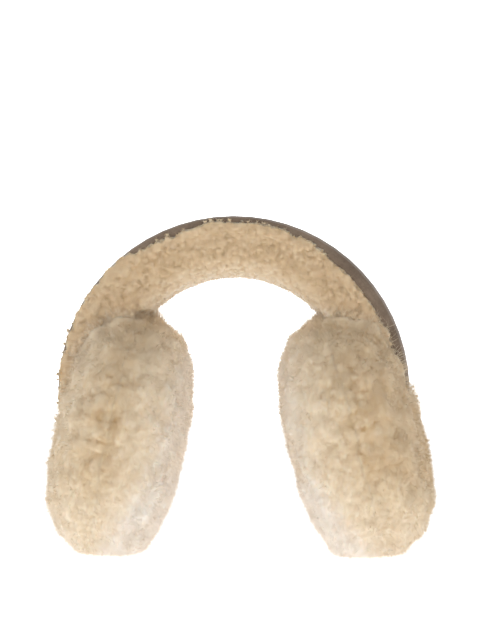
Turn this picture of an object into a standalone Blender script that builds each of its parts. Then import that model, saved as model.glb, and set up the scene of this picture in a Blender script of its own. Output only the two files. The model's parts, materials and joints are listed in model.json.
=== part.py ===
"""Sheepskin earmuffs, standing on their two ear pads.

The headband is a suede strip, turned in along both edges, over a shearling lining whose wool faces the
head. Both ends of the band are tucked into thick oval ear pads. A pad is two shearling panels sewn together
round its rim: the inner one lies on the ear and the outer one faces away from it.

Metres, +Z up. The wearer's head goes in from below, between the pads, and faces -Y. The origin is on the
surface that the pads stand on, midway between them.
"""

import math
import random

import bmesh
import bpy
from mathutils import Matrix, Vector

# Headband: an arc of more than half a circle, in the XZ plane
ARCH_RADIUS = 0.0915  # to the suede's outer face
ARCH_ABOVE_PADS = 0.0231  # the arc's centre above the pads' centres
BAND_ARC = math.radians(224)
BAND_WIDTH = 0.046
BAND_DEPTH = 0.0333  # from the suede's outer face to the tips of the wool
BAND_CROWN = 0.0012  # how much lower the suede lies along its edges than in its middle
BAND_STEPS = 38

# Suede cover
SUEDE_WALL = 0.0016
SUEDE_TURN_IN = 0.0075  # how far the suede runs down the band's edges
SUEDE_EDGE_RADIUS = 0.0035
SUEDE_CORNER_STEPS = 2
SUEDE_CROWN_STEPS = 2

# Shearling lining of the band
WOOL_PROUD = 0.002  # how far the wool bulges past the suede's edges
WOOL_ARC = math.radians(208)
WOOL_ROWS = 56
WOOL_COLUMNS = 16
WOOL_SQUARENESS = 2.6
WOOL_ROOT = 0.003  # how far the wool's skin reaches up into the suede channel

# Ear pads
PAD_HEIGHT = 0.130  # along the pad's own long axis, over the locks
PAD_FORE_AFT = 0.120
PAD_PRESSED = 0.003  # how far the wool is pressed flat where the pad stands
PRESSED_ZONE = 0.007  # height above the surface up to which the locks lie flatter
PAD_OUTLINE_POWER = 2.14  # 2 is an ellipse, and more is squarer
PAD_EDGE_POWER = 2.7
PAD_BELLY = 0.11  # how much thicker a pad is at its foot than its plain form, as a share
PARTING_DEPTH = 0.003  # the wool's parting along the rim seam
PARTING_WIDTH = 0.0045
# A pad's outer face stands proud of the suede by this much at the height of the pad's centre. The two pads
# are stuffed and set by hand, so they differ a little.
PADS = {
    "left": {"side": -1, "tilt": math.radians(12), "thickness": 0.0695, "proud": 0.0026, "seed": 3},
    "right": {"side": 1, "tilt": math.radians(14.5), "thickness": 0.0735, "proud": 0.0080, "seed": 8},
}

# Locks of wool
LOCK_LENGTH = 0.0044
PAD_LOCKS = 130
LOCK_WANDER = 0.28  # how far a lock strays from its even place, as a share of the spacing
LOCK_LEAN = 0.14  # how far its tip leans, as a share of the spacing
SHOULDER_PLACE = 0.5  # where a lock's shoulder lies between its tip and the hollow beside it
SHOULDER_DROP = 0.30  # shares of a lock's length below its tip
SADDLE_DROP = 0.75
BAND_LOCK_LENGTH = 0.003
BAND_LOCK_DROPS = {"tip": 0.0, "side": 0.6, "hollow": 1.0}
UNDERSIDE_FLATTER = 0.55  # how much of their relief the locks lose under the middle of the band
DROP_VARIATION = 0.25  # how unevenly locks end, as a share of their length

# Clearances between pieces that touch
GAP = 0.0003
WOOL_GAP = 0.0006  # between the locks of one piece and the wool of the next

GOLDEN_ANGLE = math.pi * (3 - math.sqrt(5))

# Finishes: colour, roughness and sheen
FINISHES = {
    "suede": {"colour": (0.31, 0.24, 0.185, 1), "roughness": 0.92, "sheen": 0.4},
    "shearling": {"colour": (0.80, 0.66, 0.49, 1), "roughness": 0.95, "sheen": 0.3},
}


def clear_scene():
    for obj in list(bpy.data.objects):
        bpy.data.objects.remove(obj, do_unlink=True)


def new_collection(name):
    collection = bpy.data.collections.new(name)
    bpy.context.scene.collection.children.link(collection)
    return collection


def new_finish(name):
    finish = FINISHES[name]
    material = bpy.data.materials.new(name)
    material.use_nodes = True
    shader = material.node_tree.nodes["Principled BSDF"]
    shader.inputs["Base Color"].default_value = finish["colour"]
    shader.inputs["Roughness"].default_value = finish["roughness"]
    shader.inputs["Sheen Weight"].default_value = finish["sheen"]
    shader.inputs["Metallic"].default_value = 0
    return material


def new_object(name, bm, collection, material=None):
    """An object that takes over a bmesh."""
    bmesh.ops.recalc_face_normals(bm, faces=bm.faces)
    mesh = bpy.data.meshes.new(name)
    bm.to_mesh(mesh)
    bm.free()
    obj = bpy.data.objects.new(name, mesh)
    collection.objects.link(obj)
    if material:
        mesh.materials.append(material)
    return obj


def as_cutter(obj):
    obj.hide_render = True
    obj.display_type = "WIRE"
    return obj


def join_or_cut(obj, other, operation):
    boolean = obj.modifiers.new(f"{operation.lower()}_{other.name}", "BOOLEAN")
    boolean.object = other
    boolean.operation = operation


def band_point(across, radius, angle, centre):
    """A point of the band: across it along Y, at a radius and an angle about the arc's centre."""
    return centre + Vector((radius * math.cos(angle), across, radius * math.sin(angle)))


def band_section(inset, depth):
    """The band's outline as (across, radius), this far inside the suede's outer face, from one lower edge
    over the crown to the other. depth is how far the sides run down from the top of the suede."""
    half = BAND_WIDTH / 2 - inset
    corner = max(SUEDE_EDGE_RADIUS - inset, SUEDE_WALL / 2)
    edge_top = ARCH_RADIUS - inset - BAND_CROWN
    one_side = [(-half, ARCH_RADIUS - depth)]
    for step in range(SUEDE_CORNER_STEPS + 1):
        turn = math.pi - math.pi / 2 * step / SUEDE_CORNER_STEPS
        one_side.append(
            (
                corner * (1 + math.cos(turn)) - half,
                edge_top - corner * (1 - math.sin(turn)),
            )
        )
    flat = half - corner
    for step in range(1, SUEDE_CROWN_STEPS):
        across = -flat * (1 - step / SUEDE_CROWN_STEPS)
        one_side.append((across, edge_top + BAND_CROWN * (1 - (across / flat) ** 2)))
    other_side = [(-across, radius) for across, radius in reversed(one_side)]
    return one_side + [(0, edge_top + BAND_CROWN)] + other_side


def spin_band(section, arc, centre, closed):
    """A bmesh of the section spun about the arc's centre, from the left end over the top to the right end."""
    bm = bmesh.new()
    start = math.pi / 2 + arc / 2
    verts = [bm.verts.new(band_point(across, radius, start, centre)) for across, radius in section]
    for first, second in zip(verts, verts[1:]):
        bm.edges.new((first, second))
    if closed:
        bm.faces.new(verts)
    bmesh.ops.spin(
        bm,
        geom=bm.verts[:] + bm.edges[:] + bm.faces[:],
        cent=centre,
        axis=(0, 1, 0),
        angle=arc,
        steps=BAND_STEPS,
    )
    return bm


def make_cover(centre, collection, material):
    """The suede strip: its outer face spun round the arc, then thickened inwards."""
    face = spin_band(band_section(0, SUEDE_TURN_IN), BAND_ARC, centre, closed=False)
    cover = new_object("headband_suede_cover", face, collection, material)
    wall = cover.modifiers.new("suede_wall", "SOLIDIFY")
    wall.thickness = SUEDE_WALL
    wall.offset = -1
    wall.use_even_offset = True
    return cover


def wool_outline():
    """The wool's outline under the band as (across, radius), from one edge round the inside to the other."""
    half = BAND_WIDTH / 2 + WOOL_PROUD
    top = ARCH_RADIUS - SUEDE_TURN_IN - GAP
    deep = top - (ARCH_RADIUS - BAND_DEPTH)
    power = 2 / WOOL_SQUARENESS
    outline = []
    for column in range(WOOL_COLUMNS + 1):
        turn = math.pi * column / WOOL_COLUMNS
        across = math.copysign(abs(math.cos(turn)) ** power, math.cos(turn)) * half
        outline.append((across, top - math.sin(turn) ** power * deep))
    return outline


def band_lock_drop(row, column, chance):
    """How far the wool's surface lies below the tips here. Tips stand in staggered rows, two steps apart."""
    if row % 2 == 0 and (column + row // 2) % 2 == 0:
        share = BAND_LOCK_DROPS["tip"]
    elif row % 2 == 0 or (column + (row + 1) // 2) % 2:
        share = BAND_LOCK_DROPS["side"]
    else:
        share = BAND_LOCK_DROPS["hollow"]
    flatter = 1 - UNDERSIDE_FLATTER * math.sin(math.pi * column / WOOL_COLUMNS)
    return (share + DROP_VARIATION * chance.random()) * BAND_LOCK_LENGTH * flatter


def wool_row(row, outline, chance):
    """One section of the lining's wool, with each point drawn in from the outline by its place in a lock."""
    top = ARCH_RADIUS - SUEDE_TURN_IN - GAP
    middle = Vector((0, top))
    section = []
    for column, (across, radius) in enumerate(outline):
        point = Vector((across, radius))
        edge = column in (0, WOOL_COLUMNS)
        drop = WOOL_PROUD / 2 if edge else band_lock_drop(row, column, chance)
        point += (middle - point).normalized() * drop
        section.append((point.x, point.y))
    root = BAND_WIDTH / 2 - SUEDE_WALL - GAP - SUEDE_WALL
    section += [(-root, top), (-root, top + WOOL_ROOT), (root, top + WOOL_ROOT), (root, top)]
    return section


def make_lining_wool(centre):
    """The lining's wool: a loft through rows of locks along the arc, closed at both ends."""
    chance = random.Random(21)
    outline = wool_outline()
    bm = bmesh.new()
    rows = []
    for row in range(WOOL_ROWS + 1):
        angle = math.pi / 2 + WOOL_ARC * (0.5 - row / WOOL_ROWS)
        section = wool_row(row, outline, chance)
        rows.append([bm.verts.new(band_point(across, radius, angle, centre)) for across, radius in section])
    for here, there in zip(rows, rows[1:]):
        for column in range(len(here)):
            after = (column + 1) % len(here)
            bm.faces.new((here[column], here[after], there[after], there[column]))
    bm.faces.new(rows[0])
    bm.faces.new(rows[-1])
    return bm


def make_lining(centre, pad_forms, collection, cutters, material):
    """The lining: wool that stops at the pads, joined to the skin and padding that fill the suede channel."""
    lining = new_object("headband_shearling_lining", make_lining_wool(centre), collection, material)
    for form in pad_forms:
        join_or_cut(lining, form, "DIFFERENCE")
    inside = band_section(SUEDE_WALL + GAP, SUEDE_TURN_IN)
    tongue = new_object("channel_filling", spin_band(inside, BAND_ARC, centre, closed=True), cutters)
    join_or_cut(lining, as_cutter(tongue), "UNION")
    return lining


def hull_of(points):
    bm = bmesh.new()
    for point in points:
        bm.verts.new(point)
    bmesh.ops.convex_hull(bm, input=bm.verts)
    return bm


def lock_tips(count, chance):
    """Places for lock tips on a unit sphere: a golden spiral, each place nudged a little."""
    spacing = math.sqrt(4 * math.pi / count)
    tips = []
    for number in range(count):
        height = 1 - 2 * (number + 0.5) / count
        ring = math.sqrt(1 - height * height)
        turn = number * GOLDEN_ANGLE
        nudge = Vector([chance.uniform(-1, 1) for _ in range(3)]) * spacing * LOCK_WANDER
        place = Vector((height, ring * math.cos(turn), ring * math.sin(turn)))
        tips.append((place + nudge).normalized())
    return tips


def lock_points(tips, chance):
    """(places on a unit sphere, shares of a lock's length below the tips) for tips, shoulders, saddles and
    hollows. The hollows lie where three locks meet and the saddles where two do."""
    between = hull_of(tips)
    between.verts.ensure_lookup_table()
    places, drops = list(tips), [chance.random() * DROP_VARIATION for _ in tips]
    for face in between.faces:
        hollow = face.calc_center_median().normalized()
        places.append(hollow)
        drops.append(1)
        for vert in face.verts:
            places.append(vert.co.lerp(hollow, SHOULDER_PLACE).normalized())
            drops.append(SHOULDER_DROP + chance.random() * DROP_VARIATION)
    for edge in between.edges:
        places.append(((edge.verts[0].co + edge.verts[1].co) / 2).normalized())
        drops.append(SADDLE_DROP)
    between.free()
    return places, drops


def pad_surface(direction, thickness, inset):
    """Where a pad's form lies in a direction of the unit sphere, this far inside its outermost locks.
    X is through the pad, Y fore and aft, Z up. Below its middle the pad is fuller, as its wool hangs down."""
    rim = math.hypot(direction.y, direction.z)
    squarer = (rim**PAD_EDGE_POWER + abs(direction.x) ** PAD_EDGE_POWER) ** (-1 / PAD_EDGE_POWER)
    outline = 1
    if rim > 0:
        fore, up = abs(direction.y) / rim, abs(direction.z) / rim
        outline = (fore**PAD_OUTLINE_POWER + up**PAD_OUTLINE_POWER) ** (-1 / PAD_OUTLINE_POWER)
    sag = max(-direction.z * outline * squarer, 0)
    fuller = 1 + PAD_BELLY * sag * sag
    return squarer * Vector(
        (
            direction.x * fuller * (thickness / 2 - inset),
            direction.y * outline * (PAD_FORE_AFT / 2 - inset),
            direction.z * outline * (PAD_HEIGHT / 2 - inset),
        )
    )


def smooth_pad(pad, grown):
    """The pad's form over its locks, with no locks and grown by a clearance, to cut its neighbours with."""
    bm = bmesh.new()
    bmesh.ops.create_icosphere(bm, subdivisions=4, radius=1)
    for vert in bm.verts:
        vert.co = pad_surface(vert.co.normalized(), pad["thickness"], -grown)
    return bm


def upright_share(height):
    """How much of its relief the wool keeps at a height above the surface: none where it is pressed flat."""
    share = min(max(height / PRESSED_ZONE, 0), 1)
    return share * share * (3 - 2 * share)


def locked_pad(pad, placement):
    """The pad covered in locks of wool, which part along the seam round its rim and lie flat underneath."""
    chance = random.Random(pad["seed"])
    tips = lock_tips(PAD_LOCKS, chance)
    places, drops = lock_points(tips, chance)
    bm = hull_of(places)
    bm.verts.ensure_lookup_table()
    spacing = math.sqrt(4 * math.pi / PAD_LOCKS)
    for index, drop in enumerate(drops):
        direction = Vector(places[index])
        if index < len(tips):
            lean = Vector([chance.uniform(-1, 1) for _ in range(3)]) * spacing * LOCK_LEAN
            direction = (direction + lean).normalized()
        point = pad_surface(direction, pad["thickness"], 0)
        parting = PARTING_DEPTH * math.exp(-((point.x / PARTING_WIDTH) ** 2))
        relief = (drop * LOCK_LENGTH + parting) * upright_share((placement @ point).z)
        bm.verts[index].co = pad_surface(direction, pad["thickness"], relief)
    return bm


def cut_and_close(bm, place, normal):
    """Cuts the solid at a plane, drops what lies on the normal's side and closes the cut."""
    geometry = bm.verts[:] + bm.edges[:] + bm.faces[:]
    bmesh.ops.bisect_plane(bm, geom=geometry, plane_co=place, plane_no=normal, clear_outer=True)
    open_edges = [edge for edge in bm.edges if edge.is_boundary]
    bmesh.ops.holes_fill(bm, edges=open_edges, sides=0)


def arch_aside():
    """Where the arc's middle lies along X, so that both pads reach equally far from the origin."""
    return (PADS["left"]["proud"] - PADS["right"]["proud"]) / 2


def pad_placement(pad):
    """A pad's place and tilt: its top leans towards the head, and its locks are pressed into the surface."""
    tilt = Matrix.Rotation(-pad["side"] * pad["tilt"], 4, "Y")
    form = smooth_pad(pad, 0)
    reach = -min((tilt @ vert.co).z for vert in form.verts)
    form.free()
    sideways = arch_aside() + pad["side"] * (ARCH_RADIUS + pad["proud"] - pad["thickness"] / 2)
    return Matrix.Translation((sideways, 0, reach - PAD_PRESSED)) @ tilt


def make_pad_panel(name, pad, facing, placement, collection, material):
    """One shearling panel of a pad. facing is 1 for the side away from the pad's own -X, and else -1."""
    bm = locked_pad(pad, placement)
    to_pad = placement.inverted()
    cut_and_close(bm, to_pad @ Vector((0, 0, 0)), to_pad.to_3x3() @ Vector((0, 0, -1)))
    cut_and_close(bm, Vector((facing * GAP / 2, 0, 0)), Vector((-facing, 0, 0)))
    panel = new_object(name, bm, collection, material)
    panel.matrix_world = placement
    return panel


def main():
    clear_scene()
    earmuffs = new_collection("Sheepskin earmuffs")
    cutters = new_collection("Cutters")
    suede, shearling = new_finish("suede"), new_finish("shearling")

    placements = {name: pad_placement(pad) for name, pad in PADS.items()}
    pads_height = sum(place.translation.z for place in placements.values()) / len(placements)
    centre = Vector((arch_aside(), 0, pads_height + ARCH_ABOVE_PADS))

    make_cover(centre, earmuffs, suede)
    pad_forms = []
    for name, pad in PADS.items():
        form = new_object(f"{name}_pad_form", smooth_pad(pad, WOOL_GAP), cutters)
        form.matrix_world = placements[name]
        pad_forms.append(as_cutter(form))
    make_lining(centre, pad_forms, earmuffs, cutters, shearling)

    room = band_section(-GAP, SUEDE_TURN_IN + GAP)
    room_arc = BAND_ARC + 2 * GAP / ARCH_RADIUS
    band_room = as_cutter(new_object("band_room", spin_band(room, room_arc, centre, closed=True), cutters))
    for name, pad in PADS.items():
        inner = f"{name}_pad_inner_shearling"
        outer = f"{name}_pad_outer_shearling"
        make_pad_panel(inner, pad, -pad["side"], placements[name], earmuffs, shearling)
        panel = make_pad_panel(outer, pad, pad["side"], placements[name], earmuffs, shearling)
        join_or_cut(panel, band_room, "DIFFERENCE")


main()
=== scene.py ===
# %% [markdown]
# # Sheepskin earmuffs
# This lesson dresses a finished model of a pair of earmuffs: a wide suede headband, lined with wool, and
# two thick oval ear pads of shearling, which is sheepskin with its wool left on. The model has the right
# sizes and places, and its wool is only modelled as solid lumps. Here the lumps become real wool: many
# thousands of thin curled fibres in locks. The suede gets its nap. Lengths are metres. X runs from the left
# pad to the right pad, Y from front to back, and Z up.

# %% Load the model
import json
import math

import bmesh
import bpy
import numpy as np
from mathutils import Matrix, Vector
from mathutils.bvhtree import BVHTree
from mathutils.kdtree import KDTree

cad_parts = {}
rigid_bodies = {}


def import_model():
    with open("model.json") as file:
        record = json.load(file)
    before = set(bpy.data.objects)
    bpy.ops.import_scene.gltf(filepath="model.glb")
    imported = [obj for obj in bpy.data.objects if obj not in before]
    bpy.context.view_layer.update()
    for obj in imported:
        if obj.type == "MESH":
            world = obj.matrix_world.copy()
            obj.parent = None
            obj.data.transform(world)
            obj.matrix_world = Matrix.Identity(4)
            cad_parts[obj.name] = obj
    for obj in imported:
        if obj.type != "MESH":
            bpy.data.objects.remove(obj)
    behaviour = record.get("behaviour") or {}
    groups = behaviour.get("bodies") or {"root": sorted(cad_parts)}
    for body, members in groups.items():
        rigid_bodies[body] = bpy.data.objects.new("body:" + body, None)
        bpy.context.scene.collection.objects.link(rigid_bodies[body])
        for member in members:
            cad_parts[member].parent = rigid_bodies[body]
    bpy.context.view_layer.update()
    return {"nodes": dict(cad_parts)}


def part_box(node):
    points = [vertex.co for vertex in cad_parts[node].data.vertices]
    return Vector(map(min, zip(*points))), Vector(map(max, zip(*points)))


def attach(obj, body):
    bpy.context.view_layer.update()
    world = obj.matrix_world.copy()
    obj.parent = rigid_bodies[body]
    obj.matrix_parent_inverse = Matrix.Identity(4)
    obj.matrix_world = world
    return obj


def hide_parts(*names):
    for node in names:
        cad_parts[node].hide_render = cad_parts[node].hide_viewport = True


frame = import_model()
MM = 0.001
print("nodes:", sorted(frame["nodes"]))

# %% [markdown]
# ## The camera
# The photograph was taken with a long lens from low down, about as high as the middle of the earmuffs, and a
# few degrees to the right: more of the band's inside shows on the left, and more of its suede on the right.
# A long lens from further away keeps both pads nearly the same size. The camera is made first, so that
# every later step can be checked in the same view.

# %% Camera
CAMERA_TURN = math.radians(3.6)
CAMERA_PITCH = math.radians(-1.29)
CAMERA_DISTANCE = 0.7965
LENS = 85
AIM = Vector((0, 0, 0.1221))

back = Vector(
    (
        math.sin(CAMERA_TURN) * math.cos(CAMERA_PITCH),
        -math.cos(CAMERA_TURN) * math.cos(CAMERA_PITCH),
        math.sin(CAMERA_PITCH),
    )
)
camera = bpy.data.objects.new("camera", bpy.data.cameras.new("camera"))
bpy.context.scene.collection.objects.link(camera)
camera.data.lens = LENS
camera.location = AIM + back * CAMERA_DISTANCE
camera.rotation_euler = (-back).to_track_quat("-Z", "Y").to_euler()
bpy.context.scene.camera = camera
print("camera at", tuple(round(x, 3) for x in camera.location))

# %% [markdown]
# ## Node helpers
# A material is a small net of nodes. Two helpers keep the later cells short. One sets several inputs of a
# node at once, and one adds a node with its settings.

# %% Node helpers


def set_inputs(node, values):
    """Give a node's inputs their values."""
    for name, value in values.items():
        node.inputs[name].default_value = value


def add_node(tree, kind, inputs=None, **settings):
    """A new node, with the values of its inputs and its settings."""
    node = tree.nodes.new(kind)
    for name, value in settings.items():
        setattr(node, name, value)
    set_inputs(node, inputs or {})
    return node


# %% [markdown]
# ## Patterns for the materials
# Wool and suede share three patterns. A noise makes one patch unlike the next. A colour ramp turns a number,
# such as the noise, into a colour. And a mix puts two colours together. The noise is measured in metres on
# the object itself, so that a larger copy gets more grain and not coarser grain.

# %% Patterns


def noise(tree, scale, detail=3.0, roughness=0.5):
    """A noise pattern in the object's own metres, so that its grain has a real size."""
    place = add_node(tree, "ShaderNodeTexCoord")
    pattern = add_node(tree, "ShaderNodeTexNoise", {"Scale": scale, "Detail": detail, "Roughness": roughness})
    tree.links.new(place.outputs["Object"], pattern.inputs["Vector"])
    return pattern.outputs["Fac"]


def ramp(tree, factor, stops):
    """A colour ramp read by factor. stops are (place, colour)."""
    node = add_node(tree, "ShaderNodeValToRGB")
    band = node.color_ramp
    while len(band.elements) < len(stops):
        band.elements.new(0.5)
    for element, (place, colour) in zip(band.elements, stops):
        element.position = place
        element.color = (*colour, 1)
    tree.links.new(factor, node.inputs["Fac"])
    return node.outputs["Color"]


def mixed(tree, factor, first, second, blend="MIX"):
    """Two colours mixed by a factor, which is a number or an output."""
    node = add_node(tree, "ShaderNodeMix", data_type="RGBA", blend_type=blend)
    if isinstance(factor, (int, float)):
        node.inputs[0].default_value = factor
    else:
        tree.links.new(factor, node.inputs[0])
    for socket, value in ((node.inputs[6], first), (node.inputs[7], second)):
        if isinstance(value, tuple):
            socket.default_value = (*value, 1)
        else:
            tree.links.new(value, socket)
    return node.outputs[2]


# %% [markdown]
# ## Wool as a material
# A wool fibre is a thin, pale, scaly thread. It has hardly any gloss, and light passes through it, which is
# why a fleece glows at its edges and has soft shadows. A fibre that only reflects would look like chalk.
# Two shaders share one colour. In the imported fleece light spreads under the surface, which Blender calls
# subsurface. A loose fibre is mostly a rough surface and a quarter a translucent one. The colour is read from
# an attribute that each point carries. It is pale at the tips, as wool is, and it also holds painted light and
# shade: darker and yellower down in the hollows between the locks, where shade falls, and lighter where more
# light reaches.

# %% Wool material
TONE = "wool_tone_and_painted_shading"
TONE_STOPS = (0.0, 0.4, 0.75, 1.0)
PALEST = (0.96, 0.89, 0.81)
PATCH_SCALE = 60  # broad patches of wool that are a little yellower
PATCHES = [(0.3, (0.96, 0.94, 0.91)), (0.7, (1.0, 1.0, 1.0))]
WOOL_SURFACE = {"Roughness": 0.85, "Specular IOR Level": 0.2, "Sheen Weight": 0.25, "Sheen Roughness": 0.5}
UNDER_SURFACE = {"Subsurface Weight": 0.8, "Subsurface Radius": (1.0, 0.85, 0.7)}
WOOL_GRAIN = 750
WOOL_BUMP = {"Strength": 0.3, "Distance": 0.5 * MM}
THROUGH = 0.25  # the share of light that passes through a loose fibre


def wool_material(name, tones, loose, spread=0.0):
    """Wool whose colour runs over the three tones to the palest, by the tone that the mesh carries. spread is
    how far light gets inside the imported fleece."""
    material = bpy.data.materials.new(name)
    material.use_nodes = True
    tree = material.node_tree
    shader = tree.nodes["Principled BSDF"]
    tone = add_node(tree, "ShaderNodeAttribute", attribute_name=TONE)
    colour = ramp(tree, tone.outputs["Fac"], list(zip(TONE_STOPS, (*tones, PALEST))))
    patches = ramp(tree, noise(tree, PATCH_SCALE, 2), PATCHES)
    colour = mixed(tree, 1.0, colour, patches, "MULTIPLY")
    tree.links.new(colour, shader.inputs["Base Color"])
    set_inputs(shader, WOOL_SURFACE)
    if not loose:
        set_inputs(shader, UNDER_SURFACE | {"Subsurface Scale": spread})
        fuzz = add_node(tree, "ShaderNodeBump", WOOL_BUMP)
        tree.links.new(noise(tree, WOOL_GRAIN, 3, 0.65), fuzz.inputs["Height"])
        tree.links.new(fuzz.outputs["Normal"], shader.inputs["Normal"])
        return material
    through = add_node(tree, "ShaderNodeBsdfTranslucent")
    tree.links.new(colour, through.inputs["Color"])
    both = add_node(tree, "ShaderNodeMixShader", {"Fac": THROUGH})
    tree.links.new(shader.outputs["BSDF"], both.inputs[1])
    tree.links.new(through.outputs["BSDF"], both.inputs[2])
    tree.links.new(both.outputs["Shader"], tree.nodes["Material Output"].inputs["Surface"])
    return material


PAD_TONES = ((0.68, 0.49, 0.27), (0.83, 0.70, 0.51), (0.93, 0.82, 0.66))
BAND_TONES = ((0.46, 0.31, 0.16), (0.71, 0.55, 0.36), (0.86, 0.73, 0.55))
PAD_SPREAD = 2.5 * MM
BAND_SPREAD = 1.2 * MM
pad_wool = [
    wool_material("pad_wool", PAD_TONES, loose=False, spread=PAD_SPREAD),
    wool_material("pad_fibres", PAD_TONES, loose=True),
]
band_wool = [
    wool_material("band_wool", BAND_TONES, loose=False, spread=BAND_SPREAD),
    wool_material("band_fibres", BAND_TONES, loose=True),
]
print("wool materials:", pad_wool[0].name, band_wool[0].name)

# %% [markdown]
# ## What is open and what is covered
# Wool grows all over a piece, but not where the piece lies against or inside another one. So the wool has to
# know its neighbours. Blender can find the nearest face, or the face that a ray meets, very fast in a tree of
# all the faces, and one such tree is made of each piece.

# %% Neighbours
COVER = "headband_suede_cover"
LINING = "headband_shearling_lining"
NUDGE = 1e-6
everything = {
    name: BVHTree.FromPolygons(
        [vert.co for vert in node.data.vertices], [tuple(face.vertices) for face in node.data.polygons]
    )
    for name, node in frame["nodes"].items()
}
PADS = [name for name in everything if "pad" in name]
print("trees of faces:", len(everything))


def neighbours(places, names):
    """For each place, the distance to the nearest of the named pieces and the direction to it."""
    others = [everything[name] for name in names]
    gaps, ways = np.empty(len(places)), np.empty((len(places), 3))
    for index, place in enumerate(places):
        spot, _, _, gap = min((tree.find_nearest(Vector(place)) for tree in others), key=lambda hit: hit[3])
        gaps[index] = gap
        ways[index] = (np.array(spot) - place) / max(gap, NUDGE)
    return gaps, ways


# %% [markdown]
# ## Rays out of the wool
# A short ray sent straight out from a place tells whether another piece covers it. A long slanting ray tells
# whether the place is inside another piece: it then passes through that piece's skin an odd number of times.

# %% Open or covered
DEEPEST = 8 * MM  # no place lies deeper than this inside another piece
SLANT = Vector((0.3, 0.9, 0.3)).normalized()


def outside(places, own_names):
    """For each place, 1 if it lies outside all the other pieces, and else 0."""
    free = np.ones(len(places))
    for name, tree in everything.items():
        if name in own_names:
            continue
        for index in np.flatnonzero(free):
            start = Vector(places[index])
            if tree.find_nearest(start, DEEPEST)[0] is None:
                continue
            crossings = 0
            while (spot := tree.ray_cast(start, SLANT)[0]) is not None:
                crossings += 1
                start = spot + SLANT * NUDGE
            free[index] = crossings % 2 == 0
    return free


def open_share(places, normals, own_names, reach, names=tuple(everything)):
    """For each place, 1 if none of the other named pieces lies within reach outward from it, and else 0."""
    others = [everything[name] for name in names if name not in own_names]
    free = [
        all(tree.ray_cast(Vector(place), Vector(normal), reach)[0] is None for tree in others)
        for place, normal in zip(places, normals)
    ]
    return np.array(free, float)


# %% [markdown]
# ## From arrays to a mesh
# Making faces one at a time would take minutes. A mesh can take all its points and faces at once instead,
# as long lists of numbers, and that takes a second. Numpy works on the same lists, so there are helpers
# both ways.

# %% Meshes and arrays


def array_mesh(name, places, corners):
    """A smooth mesh of points and of triangles."""
    mesh = bpy.data.meshes.new(name)
    mesh.vertices.add(len(places))
    mesh.vertices.foreach_set("co", places.astype(np.float32).ravel())
    mesh.loops.add(corners.size)
    mesh.loops.foreach_set("vertex_index", corners.astype(np.int32).ravel())
    mesh.polygons.add(len(corners))
    mesh.polygons.foreach_set("loop_start", np.arange(0, corners.size, 3, dtype=np.int32))
    mesh.polygons.foreach_set("use_smooth", np.ones(len(corners), bool))
    mesh.update(calc_edges=True)
    return mesh


def points_of(mesh):
    """A mesh's points and their outward normals as arrays."""
    places = np.empty(len(mesh.vertices) * 3)
    normals = np.empty(len(mesh.vertices) * 3)
    mesh.vertices.foreach_get("co", places)
    mesh.vertices.foreach_get("normal", normals)
    return places.reshape(-1, 3), normals.reshape(-1, 3)


def corners_of(mesh):
    """The corner numbers of a mesh's triangles."""
    mesh.calc_loop_triangles()
    corners = np.empty(len(mesh.loop_triangles) * 3, np.int32)
    mesh.loop_triangles.foreach_get("vertices", corners)
    return corners.reshape(-1, 3)


# %% [markdown]
# ## Directions
# Three small helpers work on thousands of directions at a time. A direction is made one unit long, or laid
# flat on the surface that it belongs to, or a triangle is turned over so that it faces outward.

# %% Directions


def unit(ways):
    """The ways, each one unit long."""
    return ways / np.maximum(np.linalg.norm(ways, axis=1), 1e-9)[:, None]


def square_to(normals, ways):
    """The ways made square to the normals and one unit long."""
    ways = ways - normals * (ways * normals).sum(1)[:, None]
    return unit(ways)


def outward(corners, points, guides):
    """The corners of triangles, turned over where a face looks against its guide."""
    a, b, c = (points[corners[:, k]] for k in range(3))
    wrong = (np.cross(b - a, c - a) * guides[corners[:, 0]]).sum(1) < 0
    return np.where(wrong[:, None], corners[:, ::-1], corners)


# %% [markdown]
# ## Tools for the body
# A modifier can be used as a tool: it works on a mesh, and its result is kept as a new mesh. Two more helpers
# are needed. One joins the two panels of a pad, and one tells how loose the wool is at a height, because the
# pads stand on their wool and press it together.

# %% Tools for the body
PRESSED = 7 * MM  # the wool is pressed together up to this height
FUSED = 0.5 * MM  # the panels of a pad swell by this, to fuse where they meet


def settled(height):
    """0 on the surface that the pads stand on, rising to 1 where the wool is loose."""
    share = np.clip(height / PRESSED, 0, 1)
    return share * share * (3 - 2 * share)


def modified(mesh, name, kind, group=None, **settings):
    """The mesh after one modifier. group is 1 for the points that the modifier works on."""
    obj = bpy.data.objects.new("work", mesh)
    bpy.context.scene.collection.objects.link(obj)
    modifier = obj.modifiers.new(name, kind)
    for setting, value in settings.items():
        setattr(modifier, setting, value)
    if group is not None:
        obj.vertex_groups.new(name="group").add([int(n) for n in np.flatnonzero(group)], 1.0, "REPLACE")
        modifier.vertex_group = "group"
    graph = bpy.context.evaluated_depsgraph_get()
    result = bpy.data.meshes.new_from_object(obj.evaluated_get(graph))
    bpy.data.objects.remove(obj)
    return result


def joined(node_names):
    """The points and triangles of some nodes together."""
    points, corners = [], []
    for name in node_names:
        places, normals = points_of(frame["nodes"][name].data)
        corners.append(corners_of(frame["nodes"][name].data) + sum(map(len, points)))
        points.append(places + normals * (FUSED if len(node_names) > 1 else 0))
    return np.concatenate(points), np.concatenate(corners)


# %% [markdown]
# ## The body of the fleece
# Close to the skin, a fleece is so dense that no light gets through it. One closed soft body stands for
# that. Blender could inflate a cage for it, but the model's own lumps already have the right form. So each
# of its wool pieces is remeshed into small even faces, smoothed, and sunk below the place where the tips
# end. Where the pad stands, it isn't sunk, because the wool there is pressed together, nor where the piece
# is covered. Both panels of a pad make one body, so that no groove shows between them, and it swells
# towards the lining's. The covered side needs no small faces, so a Decimate modifier takes most of them
# away there.

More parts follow.
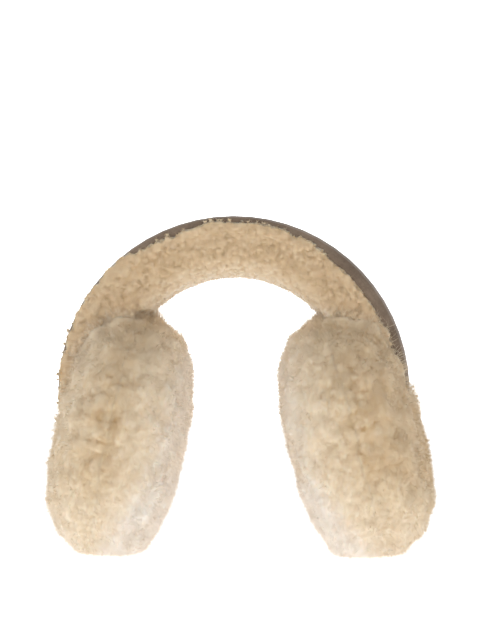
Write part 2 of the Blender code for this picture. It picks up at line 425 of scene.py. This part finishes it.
# %% Body of the fleece
ROUGH_VOXEL = 1.7 * MM
ROUGH_SMOOTHING = 14
BODY_VOXEL = 0.92 * MM
BODY_SMOOTHING = 4
COVERED = {"within": 1.5 * MM, "removed": 0.93}  # where most of the faces are taken away
SINKING_REACH = 0.6  # shares of the depth within which no other piece may lie
GROOVE = {"filled": 1.0 * MM, "reach": 5 * MM}  # along a pad's seam
MEETING = {"swollen": 3.7 * MM, "reach": 5.5 * MM, "narrow": 1.5}  # where a pad's wool meets the lining's


def fleece_body(node_names, sunk, spill=None):
    """A soft closed body over one or two wool nodes, sunk below the tips, and which node each point is of."""
    body = array_mesh("rough", *joined(node_names))
    body = modified(body, "even_faces", "REMESH", mode="VOXEL", voxel_size=ROUGH_VOXEL)
    body = modified(body, "soften", "SMOOTH", factor=0.5, iterations=ROUGH_SMOOTHING)
    if spill:
        places, corners = points_of(body)[0], corners_of(body)
        corners = np.concatenate([corners, spill[1] + len(places)])
        body = array_mesh("with_spill", np.concatenate([places, spill[0]]), corners)
    body = modified(body, "finer_faces", "REMESH", mode="VOXEL", voxel_size=BODY_VOXEL)
    body = modified(body, "soften", "SMOOTH", factor=0.5, iterations=BODY_SMOOTHING)
    covered = open_share(*points_of(body), node_names, COVERED["within"]) == 0
    ratio = 1 - COVERED["removed"] * covered.mean()
    body = modified(body, "fewer_faces", "DECIMATE", group=covered, ratio=ratio)

    places, normals = points_of(body)
    loose = settled(places[:, 2])
    depth = sunk * loose * open_share(places, normals, node_names, sunk * SINKING_REACH)
    gaps = np.stack([neighbours(places, [name])[0] for name in node_names])
    if len(node_names) > 1:
        depth += FUSED
        depth -= (depth + GROOVE["filled"]) * np.exp(-((gaps.max(0) / GROOVE["reach"]) ** 2)) * loose
        gap, way = neighbours(places, [LINING])
        towards = np.clip((normals * way).sum(1) * MEETING["narrow"], 0, 1)
        near = np.exp(-((gap / MEETING["reach"]) ** 2)) * towards
        depth -= (depth + MEETING["swollen"]) * near
    places -= normals * depth[:, None]
    places[:, 2] = np.maximum(places[:, 2], 0)
    body.vertices.foreach_set("co", places.ravel())
    body.update()
    return body, gaps.argmin(0)


# %% [markdown]
# ## Where the locks grow
# Places are thrown at random over the faces, and a place that falls too near an earlier one is thrown away.
# What is left is even but without rows, as on a real skin.

# %% Places on a mesh


def thrown(corners, places, count, chance, allowed):
    """Random faces and the weights of their corners, even over the area of the allowed faces."""
    a, b, c = (places[corners[:, k]] for k in range(3))
    area = np.linalg.norm(np.cross(b - a, c - a), axis=1) * allowed
    face = chance.choice(len(area), count, p=area / area.sum())
    u, v = chance.random(count), chance.random(count)
    u, v = np.where(u + v > 1, 1 - u, u), np.where(u + v > 1, 1 - v, v)
    return corners[face], np.stack([1 - u - v, u, v], 1)[..., None]


def apart(places, spacing):
    """The numbers of places that are at least spacing from each other."""
    taken, kept = {}, []
    around = [np.array((i, j, k)) for i in (-1, 0, 1) for j in (-1, 0, 1) for k in (-1, 0, 1)]
    for index, cell in enumerate(np.floor(places / spacing).astype(int)):
        near = [n for step in around for n in taken.get(tuple(cell + step), ())]
        if not near or ((places[near] - places[index]) ** 2).sum(1).min() > spacing**2:
            taken.setdefault(tuple(cell), []).append(index)
            kept.append(index)
    return kept


# %% [markdown]
# ## The relief of the locks
# A lock is a bundle of fibres that leave the skin together, lean over, curl and end in a rounded tip. Where
# the skin bends sharply, at a pad's seam, the locks part, and each one can be seen as a soft petal. On the
# broad faces they close into a nap. Separate petals would look like oat flakes, so the locks raise the body
# instead: each one is a dome, low at its root and highest just before its tip, and where they overlap the
# highest counts.

# %% Relief
LOCKS = {  # how unlike each other the locks are, as shares
    "wander": 0.75,
    "size": (0.6, 1.4),
    "stoutness": (0.75, 1.25),
    "rise": (0.5, 1.0),
}
DOME = {"blunt_end": 4, "straight_side": 2.5, "flat_top": 0.42, "middle": 0.55, "tip": 0.45}


def lock_table(places, normals, lean, wool, chance):
    """One row per lock in each column: its middle, its own two directions, and its size."""
    count = len(places)
    over = square_to(normals, chance.normal(size=(count, 3)) * LOCKS["wander"] + lean)
    size = chance.uniform(*LOCKS["size"], count)
    return {
        "middle": places,
        "over": over,
        "across": np.cross(normals, over),
        "half_length": wool["length"] / 2 * size,
        "half_width": wool["width"] / 2 * size * chance.uniform(*LOCKS["stoutness"], count),
        "rise": chance.uniform(*LOCKS["rise"], count),
    }


def raised(places, lock):
    """For each place, the share from 0 to 1 that the highest lock there raises it, and that lock's number."""
    tree = KDTree(len(lock["middle"]))
    for number, middle in enumerate(lock["middle"]):
        tree.insert(middle, number)
    tree.balance()
    reach = lock["half_length"].max()
    found = [[number for _, number, _ in tree.find_range(place, reach)] for place in places]
    place_number = np.repeat(np.arange(len(places)), [len(numbers) for numbers in found])
    lock_number = np.concatenate([np.array(numbers, int) for numbers in found])
    out = places[place_number] - lock["middle"][lock_number]
    along = (out * lock["over"][lock_number]).sum(1) / lock["half_length"][lock_number]
    aside = (out * lock["across"][lock_number]).sum(1) / lock["half_width"][lock_number]
    inside = np.clip(1 - along ** DOME["blunt_end"] - np.abs(aside) ** DOME["straight_side"], 0, 1)
    dome = inside ** DOME["flat_top"] * (DOME["middle"] + DOME["tip"] * along) * lock["rise"][lock_number]
    order = np.lexsort((dome, place_number))
    last = np.flatnonzero(np.append(np.diff(place_number[order]) > 0, True))
    height, strongest = np.zeros(len(places)), np.zeros(len(places), int)
    height[place_number[order][last]] = dome[order][last]
    strongest[place_number[order][last]] = lock_number[order][last]
    return height, strongest


# %% [markdown]
# ## The loose fibres
# Over the body stands a fuzz of loose fibres. Each one is a ribbon narrower than a pixel, curled over and
# ending in a point. They lean the same way as the lock they grow on, more or less. Seen against the light
# they are the soft edge of the fleece. Blender's hair could make them too, but hair isn't a mesh, and this
# model has to be one.

# %% Fibres
FIBRE = {
    "width": 0.14 * MM,
    "rooted": 0.1 * MM,
    "start": np.radians(32),  # from straight up
    "starts": (0.2, 1.5),  # shares of it
    "turn": np.radians(85),
    "turns": (0.2, 1.3),
    "turning": 1.25,  # over 1 turns more towards the tip
    "lengths": (0.6, 1.3),
    "wander": 0.7,
    "roll": 0.5,
}
FIBRE_SHARE = np.array([0.0, 0.55, 1.0])  # of its length, where a fibre has its points
FIBRE_CORNERS = np.array([(0, 1, 3), (0, 3, 2), (2, 3, 4)])
STRAY = {"share": 0.02, "longer": 1.7, "straighter": 0.5}
FLOOR_CLEAR = 0.1 * MM


def curled(normal, over, start, turn, length, share):
    """Middle lines that turn from normal towards over, and the direction square to them in that plane."""
    angle = start[:, None] + turn[:, None] * share ** FIBRE["turning"]
    up, side = normal[:, None], over[:, None]
    along = np.cos(angle)[..., None] * up + np.sin(angle)[..., None] * side
    inward = -np.sin(angle)[..., None] * up + np.cos(angle)[..., None] * side
    steps = (along[:, 1:] + along[:, :-1]) / 2 * (np.diff(share) * length[:, None])[..., None]
    line = np.concatenate([np.zeros((len(normal), 1, 3)), np.cumsum(steps, axis=1)], axis=1)
    return line, inward


def fibres_at(places, normals, lean, length, chance):
    """Points (fibre, corner, xyz) of one curled fibre at each place."""
    count = len(places)
    stray = chance.random(count) < STRAY["share"]
    over = square_to(normals, lean + chance.normal(size=(count, 3)) * FIBRE["wander"])
    start = FIBRE["start"] * chance.uniform(*FIBRE["starts"], count) * np.where(stray, STRAY["straighter"], 1)
    turn = FIBRE["turn"] * chance.uniform(*FIBRE["turns"], count)
    length = length * chance.uniform(*FIBRE["lengths"], count) * np.where(stray, STRAY["longer"], 1)
    line, inward = curled(normals, over, start, turn, length, FIBRE_SHARE)
    across = np.cross(normals, over)[:, None]
    roll = chance.normal(size=count)[:, None, None] * FIBRE["roll"]
    half = (np.sin(roll) * inward + np.cos(roll) * across) * FIBRE["width"] / 2
    middle = places[:, None] - normals[:, None] * FIBRE["rooted"] + line
    points = np.stack([middle[:, 0] - half[:, 0], middle[:, 0] + half[:, 0]], 1)
    points = np.concatenate([points, (middle - half)[:, 1:2], (middle + half)[:, 1:2], middle[:, 2:]], 1)
    points[..., 2] = np.maximum(points[..., 2], FLOOR_CLEAR)
    return points


# %% [markdown]
# ## Raise the locks
# Locks are thrown over the body, and its points move outward under them. Where another piece covers the
# wool, and where the pad stands, the body stays as it is.

# %% Raise the locks
HANG = np.array([0, 0, -0.5])  # how much the locks hang down
LOCK_TRIES = 40000
NAP_RELIEF = 0.2  # the share of their relief that the locks keep in the smooth nap
SUEDE_CLEAR = 0.5 * MM  # no wool grows this close under the suede


def raise_locks(body, corners, node_names, wool, definition, chance):
    """Raise a body's locks. Gives the table of locks, and for each point the number of the highest lock, how
    high it is raised as a share, how clear the locks are, and 1 if it is free of the other pieces."""
    places, normals = points_of(body)
    free = outside(places, node_names) * open_share(places, normals, node_names, SUEDE_CLEAR, [COVER])
    chosen, weight = thrown(corners, places, LOCK_TRIES, chance, np.ones(len(corners)))
    roots, facing = (places[chosen] * weight).sum(1), (normals[chosen] * weight).sum(1)
    kept = apart(roots, wool["spacing"])
    lock = lock_table(roots[kept], facing[kept], HANG, wool, chance)
    height, highest = raised(places, lock)
    clear = definition(places)
    shown = NAP_RELIEF + (1 - NAP_RELIEF) * clear
    places = places + normals * (height * wool["relief"] * shown * settled(places[:, 2]) * free)[:, None]
    places[:, 2] = np.maximum(places[:, 2], 0)
    body.vertices.foreach_set("co", places.ravel())
    body.update()
    print("locks:", len(kept), "faces of the body:", len(corners))
    return lock, highest, height, clear, free


# %% [markdown]
# ## One object for each piece of the model
# The body and the fibres of a piece become one mesh with two materials. A fibre is shaded mostly as if it
# faced the same way as the body under it, because a nap of thousands of fibres is as bright as the surface
# that they form. Shaded one by one, they would glitter. The directions that each point is shaded by are
# stored in the mesh as custom normals.

# %% One object
SOFTNESS = 0.75  # how far a fibre is shaded as the body under it


def fleece_piece(node_name, materials, points, faces, guides, tones, body_points):
    """One object from its share of a fleece's faces. Points after body_points are fibres."""
    used, numbers = np.unique(faces, return_inverse=True)
    name = node_name.replace("_shearling", "").replace("_lining", "") + "_fleece"
    mesh = array_mesh(name, points[used], numbers.reshape(-1, 3))
    tone = mesh.attributes.new(TONE, "FLOAT", "POINT")
    tone.data.foreach_set("value", tones[used].astype(np.float32))
    own = points_of(mesh)[1]
    own *= np.where((own * guides[used]).sum(1) < 0, -1, 1)[:, None]
    share = np.where(used < body_points, 1, SOFTNESS)[:, None]
    mesh.normals_split_custom_set_from_vertices((guides[used] * share + own * (1 - share)).tolist())
    for material in materials:
        mesh.materials.append(material)
    mesh.polygons.foreach_set("material_index", (faces[:, 0] >= body_points).astype(np.int32))
    piece = bpy.data.objects.new(name, mesh)
    bpy.context.scene.collection.objects.link(piece)
    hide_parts(node_name)
    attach(piece, "root")
    print(name, "triangles:", len(faces))
    return piece


# %% [markdown]
# ## Grow the fleece of a piece
# The steps so far, put together: the body, its locks and its fibres. The wool is painted darker in the hollows
# between the locks, as shade, and lighter on the locks' tops, as light, and it is painted lighter where two
# pieces meet, to lift the shade of the fold between them. The fibres' tips are lighter, as wool's are. Near
# another piece the fibres are longer and lean over to it, so that the two fleeces close up as wool does.

# %% Grow
NAP_TONE = 0.34  # the tone of a smooth nap
LOCK_PAINTED_LIGHT_AND_SHADE = 1.5  # a lock's top is painted half as much lighter as the hollows round it are painted darker, as light and shade
# Painted light: the wool is painted lighter where two pieces meet, to lift the shade in the fold between them.
FOLD_PAINTED_LIGHT = {"painted_light_and_tone": 0.3, "reach": 4.5 * MM}  # where two pieces meet
LONGER = {"share": 1.1, "lean": 1.5, "reach": 5.5 * MM}  # the fibres near another piece
CLEAR_SHORTER = 0.5  # the share that fibres are shorter where the locks are clearest
FIBRE_TONE_RANGE = 0.02
TIP_PALER = np.array([0, 0, 0.04, 0.04, 0.1])
BARE_FOOT = 0.5 * MM  # no fibres grow below this height


def grow_fleece(node_names, materials, seed, wool, definition, painted_light_and_tone, spill=None):
    """A fleece in place of wool nodes, in one piece for each. definition gives how clearly the locks stand out
    at places, and the function after it how much lighter the wool is made there, partly its own tone and partly
    painted light."""
    chance = np.random.default_rng(seed)
    body, owner = fleece_body(node_names, wool["sunk"], spill)
    corners = corners_of(body)
    lock, highest, height, clear, free = raise_locks(body, corners, node_names, wool, definition, chance)

    places, normals = points_of(body)
    others = [name for name in (*PADS, LINING) if name not in node_names]
    # The tone holds painted light and shade: darker in the hollows between clear locks and lighter on their
    # tops, lighter by the function given for the piece, and lighter in the fold by another piece to lift its
    # shade.
    fold = np.exp(-((neighbours(places, others)[0] / FOLD_PAINTED_LIGHT["reach"]) ** 2))
    painted_lock_light_and_shade = clear * (wool["crease"] * (LOCK_PAINTED_LIGHT_AND_SHADE * height - 1))
    tones = NAP_TONE + painted_light_and_tone(places) + painted_lock_light_and_shade + FOLD_PAINTED_LIGHT["painted_light_and_tone"] * fold

    open_faces = free[corners].min(1) * (places[corners][..., 2].min(1) > BARE_FOOT)
    chosen, weight = thrown(corners, places, wool["fibres"], chance, open_faces)
    roots, facing = (places[chosen] * weight).sum(1), unit((normals[chosen] * weight).sum(1))
    gap, way = neighbours(roots, others)
    near = np.exp(-((gap / LONGER["reach"]) ** 2))
    lean = lock["over"][highest[chosen[:, 0]]] + way * near[:, None] * LONGER["lean"]
    clear_here = (clear[chosen] * weight[..., 0]).sum(1)
    length = wool["fuzz"] * (1 + LONGER["share"] * near) * (1 - CLEAR_SHORTER * clear_here)
    fibres = fibres_at(roots, facing, lean, length, chance)
    root_tone = (tones[chosen] * weight[..., 0]).sum(1)[:, None]
    root_tone = root_tone + chance.normal(size=(len(roots), 1)) * FIBRE_TONE_RANGE

    points = np.concatenate([places, fibres.reshape(-1, 3)])
    guides = np.concatenate([normals, np.repeat(facing, fibres.shape[1], axis=0)])
    tones = np.clip(np.concatenate([tones, (root_tone + TIP_PALER).ravel()]), 0, 1)
    fibre_corners = np.arange(len(fibres))[:, None, None] * fibres.shape[1] + FIBRE_CORNERS
    fibre_corners = outward(fibre_corners.reshape(-1, 3) + len(places), points, guides)
    owner = np.concatenate([owner[corners[:, 0]], np.repeat(owner[chosen[:, 0]], len(FIBRE_CORNERS))])
    faces = np.concatenate([corners, fibre_corners])
    return [
        fleece_piece(node_name, materials, points, faces[owner == number], guides, tones, len(places))
        for number, node_name in enumerate(node_names)
    ]


# %% [markdown]
# ## The ear pads
# A pad is two panels of shearling, sewn together round the rim, with the wool outside. The seam itself is
# hidden, and the wool parts along it: in the photograph this is the line of petals and small yellowish hollows
# down the middle of each pad. Both panels grow as one fleece, which is clearest along the seam. Its wool is
# painted lighter towards the head and the foot, as painted light. Afterwards it is divided into the two panels.

# %% Clear parts of a pad, and its painted light
PAD_LEAN = math.radians(13)  # the plane of a pad's seam leans this much
CLEAR = {"height": 68 * MM, "reach": 34 * MM, "width": 17 * MM, "elsewhere": 0.15}  # how clear the locks are
# Painted light: how much lighter the wool is painted on the face towards the head and on the face away from it,
# where light falls; the right pad's outer face is painted a little darker.
PAINTED_SIDE_LIGHT = {"left": (0.6, 0.25), "right": (0.55, -0.05)}  # of the faces towards the head and away from it
PAINTED_SIDE_LIGHT_REACH = 28 * MM
PAINTED_FOOT_LIGHT_HEIGHT = 45 * MM  # the wool is painted lighter below this height, as light from the table below
FOOT_PAINTED_LIGHT = 0.5


def from_seam(side):
    """A function that gives how far places are from the plane of a pad's seam, positive towards the head."""
    inner_low, inner_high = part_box(f"{side}_pad_inner_shearling")
    outer_low, outer_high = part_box(f"{side}_pad_outer_shearling")
    centre = (np.minimum(inner_low, outer_low) + np.maximum(inner_high, outer_high)) / 2
    sign = 1 if side == "left" else -1
    across = np.array([math.cos(PAD_LEAN) * sign, 0, -math.sin(PAD_LEAN)])
    return lambda places: (places - centre) @ across


def near_seam(distance):
    """Definition for a pad: 1 half way up the seam round its rim, falling to almost nothing further off."""

    def definition(places):
        across = distance(places) / CLEAR["width"]
        up = (places[:, 2] - CLEAR["height"]) / CLEAR["reach"]
        return CLEAR["elsewhere"] + (1 - CLEAR["elsewhere"]) * np.exp(-(across**2) - up**2)

    return definition


def pad_painted_light(distance, towards, away):
    """How much lighter a pad's wool is painted, as light: growing from its seam to its two faces, and towards
    its foot.
    """

    def painted_light_and_tone(places):
        out = distance(places) / PAINTED_SIDE_LIGHT_REACH
        sides = towards * np.clip(out, 0, 1) + away * np.clip(-out, 0, 1)
        return sides + FOOT_PAINTED_LIGHT * np.clip(1 - places[:, 2] / PAINTED_FOOT_LIGHT_HEIGHT, 0, 1)

    return painted_light_and_tone


# %% [markdown]
# ## Grow the pads
# The table gives the wool's sizes. Its locks are as long and broad as the petals in the photograph. Each
# pad has its own seed, so that the two aren't copies.

# %% Ear pads
PAD_WOOL = {
    "sunk": 0.9 * MM,
    "spacing": 3.7 * MM,
    "length": 11.0 * MM,
    "width": 5.8 * MM,
    "relief": 1.8 * MM,
    # crease: how much darker the hollows between the locks are painted, as shade, and their tops lighter
    "crease": 0.42,
    "fuzz": 3.6 * MM,
    "fibres": 79000,
}


for side, seed in (("left", 11), ("right", 13)):
    distance = from_seam(side)
    panels = [f"{side}_pad_inner_shearling", f"{side}_pad_outer_shearling"]
    # Each pad's wool is painted lighter towards its faces and its foot, as painted light.
    painted_light_and_tone = pad_painted_light(distance, *PAINTED_SIDE_LIGHT[side])
    for fleece in grow_fleece(panels, pad_wool, seed, PAD_WOOL, near_seam(distance), painted_light_and_tone):
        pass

# %% [markdown]
# ## Wool over the suede's rim
# The suede is turned in along both edges of the band, which leaves a rim that faces forward. The lining's
# wool falls outward over this rim, so only an uneven strip of suede shows: thin over the head, hardly any on
# the left, and the whole rim on the right. This table gives, for angles from the right side over the top to the
# left, how far the wool reaches over the rim in front, and then behind. The wool there is a row of round
# tufts, which are fused with the body of the lining.

# %% Tufts over the rim
RIM_REACH = np.array(  # degrees, front mm, back mm
    [
        (-25, 1.5, 3.0),
        (0, 0.5, 3.5),
        (20, 0.2, 2.0),
        (40, 0.3, 4.0),
        (52, 0.8, 4.5),
        (60, 3.6, 3.0),
        (80, 4.8, 4.5),
        (98, 5.0, 5.0),
        (106, 3.2, 4.0),
        (120, 3.6, 1.5),
        (128, 7.6, 2.5),
        (140, 8.6, 4.5),
        (180, 8.8, 5.0),
        (205, 8.4, 4.0),
    ]
)
RIM_WIDTH = 7.5 * MM
PAST_RIM = 0.6 * MM  # no tuft reaches further past the rim
TUFT = {
    "spacing": 1.6 * MM,
    "long": 3.4 * MM,
    "wide": 1.9 * MM,
    "thick": 1.3 * MM,
    "proud": 0.95,  # shares of its thickness that its middle stands off the rim
    "inside": 4 * MM,
    "ragged": 0.8 * MM,
    "sizes": (0.75, 1.25),
    "turned": 14,  # degrees
}

cover_low, cover_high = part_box(COVER)
ARCH_RADIUS = (cover_high[0] - cover_low[0]) / 2
ARCH_CENTRE = np.array([(cover_high[0] + cover_low[0]) / 2, 0, cover_high[2] - ARCH_RADIUS])


def rim_tufts(ball, chance):
    """The points of round tufts that lie over the cover's rim, side by side along both its edges."""
    points = []
    step = math.degrees(TUFT["spacing"] / ARCH_RADIUS)
    for facing, column in ((-1, 1), (1, 2)):
        for angle in np.arange(RIM_REACH[0, 0], RIM_REACH[-1, 0], step):
            angle = angle + chance.uniform(-0.5, 0.5) * step
            reach = np.interp(angle, RIM_REACH[:, 0], RIM_REACH[:, column]) * MM
            reach = min(reach + chance.normal() * TUFT["ragged"], RIM_WIDTH + PAST_RIM)
            size = chance.uniform(*TUFT["sizes"])
            long = max(TUFT["long"] * size, (reach + TUFT["inside"]) / 2)
            turn = math.radians(angle + chance.normal() * TUFT["turned"])
            outward_way = np.array([math.cos(turn), 0, math.sin(turn)])
            aside_way = np.array([-math.sin(turn), 0, math.cos(turn)])
            spoke = np.array([math.cos(math.radians(angle)), 0, math.sin(math.radians(angle))])
            centre = ARCH_CENTRE + (ARCH_RADIUS - RIM_WIDTH + reach - long) * spoke
            centre[1] = facing * (cover_high[1] + TUFT["thick"] * TUFT["proud"])
            points.append(
                centre
                + ball[:, :1] * outward_way * long
                + ball[:, 1:2] * np.array([0, 1, 0]) * TUFT["thick"]
                + ball[:, 2:] * aside_way * TUFT["wide"] * size
            )
    return points


print("the arch's radius is", round(ARCH_RADIUS / MM, 1), "mm")

# %% [markdown]
# ## Wool in the fold by the pads
# Where the lining meets a pad, the two would leave a dark fold between them. On the real earmuffs the wool
# fills it. So round tufts are set on the lining wherever it comes close to a pad.

# %% Tufts in the fold
FOLD_TUFT = {
    "radius": (2.2 * MM, 3.2 * MM),
    "sunk": 0.15,  # shares of its radius
    "gap": 4.0 * MM,
    "spacing": 1.3 * MM,
    "tries": 30000,
}


def fold_tufts(ball, chance):
    """The points of round tufts on the lining, wherever it is close to a pad and outside it."""
    mesh = frame["nodes"][LINING].data
    places, normals = points_of(mesh)
    corners = corners_of(mesh)
    chosen, weight = thrown(corners, places, FOLD_TUFT["tries"], chance, np.ones(len(corners)))
    roots, facing = (places[chosen] * weight).sum(1), unit((normals[chosen] * weight).sum(1))
    gap, _ = neighbours(roots, PADS)
    close = (gap < FOLD_TUFT["gap"]) & (outside(roots, [LINING]) > 0)
    roots, facing = roots[close], facing[close]
    kept = apart(roots, FOLD_TUFT["spacing"])
    sizes = [chance.uniform(*FOLD_TUFT["radius"]) for _ in kept]
    return [
        root - normal * size * FOLD_TUFT["sunk"] + ball * size
        for root, normal, size in zip(roots[kept], facing[kept], sizes)
    ]


def all_tufts(chance):
    """The points and triangles of the tufts over the rim and in the fold."""
    sphere = bmesh.new()
    bmesh.ops.create_icosphere(sphere, subdivisions=2, radius=1)
    ball = np.array([vert.co for vert in sphere.verts])
    faces = np.array([[vert.index for vert in face.verts] for face in sphere.faces])
    sphere.free()
    over_rim = rim_tufts(ball, chance)
    in_fold = fold_tufts(ball, chance)
    points = over_rim + in_fold
    print("tufts over the rim:", len(over_rim), "and in the fold:", len(in_fold))
    corners = np.concatenate([faces + number * len(ball) for number in range(len(points))])
    return np.concatenate(points), corners


# %% [markdown]
# ## The headband's lining
# The band's wool is of the same skin, clipped a little shorter and in smaller curls. It faces the head, and
# bulges out past the suede on both sides. It grows by the same steps as a pad's wool, with its own table.

# %% Headband lining
BAND_WOOL = {
    "sunk": 1.2 * MM,
    "spacing": 2.2 * MM,
    "length": 5.0 * MM,
    "width": 3.2 * MM,
    "relief": 1.6 * MM,
    # crease: how much darker the hollows between the locks are painted, as shade, and their tops lighter
    "crease": 0.3,
    "fuzz": 2.8 * MM,
    "fibres": 34000,
}
BAND_CLEAR = 0.8  # how clearly its locks stand out
BAND_DEPTH = 33 * MM
PALE_DEPTH = 11 * MM  # the wool is made lighter over this distance from its lower edge, as painted light, and from the rim
# How much lighter the lining is made: a little everywhere as its tone, at its lower edge as painted light, and
# a little towards the rim.
BAND_TONE_AND_PAINTED_LIGHT = {"everywhere": 0.11, "below": 0.5, "above": 0.08}


def band_tone_and_painted_light(places):
    """How much lighter the lining is made: a little all over, as its tone; towards its lower edge, which light
    reaches from both sides, as painted light; and a little towards the rim."""
    radius = np.linalg.norm((places - ARCH_CENTRE)[:, [0, 2]], axis=1)
    below = np.clip(1 - (radius - ARCH_RADIUS + BAND_DEPTH) / PALE_DEPTH, 0, 1)
    above = np.clip(1 + (radius - ARCH_RADIUS) / PALE_DEPTH, 0, 1)
    return BAND_TONE_AND_PAINTED_LIGHT["everywhere"] + BAND_TONE_AND_PAINTED_LIGHT["below"] * below + BAND_TONE_AND_PAINTED_LIGHT["above"] * above


def band_definition(places):
    """Definition for the band: the same all over."""
    return np.full(len(places), BAND_CLEAR)


tufts = all_tufts(np.random.default_rng(22))
# The lining's wool is painted lighter at its lower edge, as painted light.
band_fleece = grow_fleece([LINING], band_wool, 21, BAND_WOOL, band_definition, band_tone_and_painted_light, tufts)[0]

# %% [markdown]
# ## The suede
# Suede is the flesh side of the skin, sanded to a short nap. Brushed one way it looks lighter and the other
# way darker, so it is never one even colour.

# %% Suede material
BRUSHED = {"scale": 36, "stops": [(0.3, (0.17, 0.125, 0.09)), (0.7, (0.31, 0.235, 0.175))]}
NAP = {"scale": 900, "stops": [(0.25, (0.8, 0.78, 0.76)), (0.75, (1.0, 1.0, 1.0))]}
SUEDE_SURFACE = {"Roughness": 0.92, "Specular IOR Level": 0.2, "Sheen Weight": 0.35, "Sheen Roughness": 0.4}
SUEDE_GRAIN = 1400
SUEDE_BUMP = {"Strength": 0.5, "Distance": 0.15 * MM}

suede = bpy.data.materials.new("taupe_suede")
suede.use_nodes = True
tree = suede.node_tree
shader = tree.nodes["Principled BSDF"]
brushed = ramp(tree, noise(tree, BRUSHED["scale"], 4, 0.6), BRUSHED["stops"])
nap = ramp(tree, noise(tree, NAP["scale"], 2), NAP["stops"])
tree.links.new(mixed(tree, 1.0, brushed, nap, "MULTIPLY"), shader.inputs["Base Color"])
set_inputs(shader, SUEDE_SURFACE)
relief = add_node(tree, "ShaderNodeBump", SUEDE_BUMP)
tree.links.new(noise(tree, SUEDE_GRAIN, 3), relief.inputs["Height"])
tree.links.new(relief.outputs["Normal"], shader.inputs["Normal"])
cover = frame["nodes"][COVER]
cover.data.materials.clear()
cover.data.materials.append(suede)
print("the suede's material:", cover.data.materials[0].name)

# %% [markdown]
# ## The table
# The photograph has a pure white ground and background. A white floor alone would look grey beside the
# pads, so this one also glows a little, like a light table, and lights the pads' feet from below.

# %% Floor
FLOOR_SIZE = 3.0
FLOOR_GREY = 0.7
FLOOR_GLOW = 0.76
FLOOR_SURFACE = {
    "Base Color": (FLOOR_GREY, FLOOR_GREY, FLOOR_GREY, 1),
    "Roughness": 0.9,
    "Specular IOR Level": 0,
    "Emission Color": (1, 1, 1, 1),
    "Emission Strength": FLOOR_GLOW,
}

bpy.ops.mesh.primitive_plane_add(size=FLOOR_SIZE, location=(0, 0, 0))
floor = bpy.context.object
floor.name = "floor"
paper = bpy.data.materials.new("white_table")
paper.use_nodes = True
set_inputs(paper.node_tree.nodes["Principled BSDF"], FLOOR_SURFACE)
floor.data.materials.append(paper)
print("floor:", FLOOR_SIZE, "m wide")

# %% [markdown]
# ## The light
# The light comes from all round, from a white sky. It is brightest low down and behind the earmuffs, which
# makes the edges of the wool glow, and dimmer overhead and at both sides, a little more so on the right.
# These four gradients give the wool its soft shading, where an even white sky would make it flat.

# %% Light
SKY_STRENGTH = 1.03
SKY_TO_RIGHT = -0.12  # the sky is this much dimmer on the right, and as much brighter on the left
SKY_BEHIND = 1.6  # brighter behind the earmuffs
SKY_TO_SIDES = -0.5  # dimmer at both sides
SKY_HEIGHTS = ((0.26, 1.0), (0.5, 0.72), (1.0, 0.5))  # how high, and the share of the light from there

world = bpy.data.worlds.new("white_studio")
world.use_nodes = True
sky = world.node_tree
background = sky.nodes["Background"]
direction = add_node(sky, "ShaderNodeTexCoord")
parts = add_node(sky, "ShaderNodeSeparateXYZ")
sky.links.new(direction.outputs["Generated"], parts.inputs["Vector"])
fade = ramp(sky, parts.outputs["Z"], [(height, (share, share, share)) for height, share in SKY_HEIGHTS])
sky.links.new(fade, background.inputs["Color"])
sides = add_node(sky, "ShaderNodeMath", operation="MULTIPLY")
sky.links.new(parts.outputs["X"], sides.inputs[0])
sky.links.new(parts.outputs["X"], sides.inputs[1])
behind = add_node(sky, "ShaderNodeMath", {1: 0.0}, operation="MAXIMUM")
sky.links.new(parts.outputs["Y"], behind.inputs[0])


def more_light(amount, share, strength=None):
    """The sky's strength, or the plain one, with a share of an amount added to it."""
    node = add_node(sky, "ShaderNodeMath", {1: share, 2: SKY_STRENGTH}, operation="MULTIPLY_ADD")
    sky.links.new(amount, node.inputs[0])
    if strength is not None:
        sky.links.new(strength, node.inputs[2])
    return node.outputs[0]


strength = more_light(parts.outputs["X"], SKY_TO_RIGHT)
strength = more_light(behind.outputs[0], SKY_BEHIND, strength)
strength = more_light(sides.outputs[0], SKY_TO_SIDES, strength)
sky.links.new(strength, background.inputs["Strength"])
bpy.context.scene.world = world
bpy.context.scene.view_settings.view_transform = "Standard"
print("sky:", world.name)
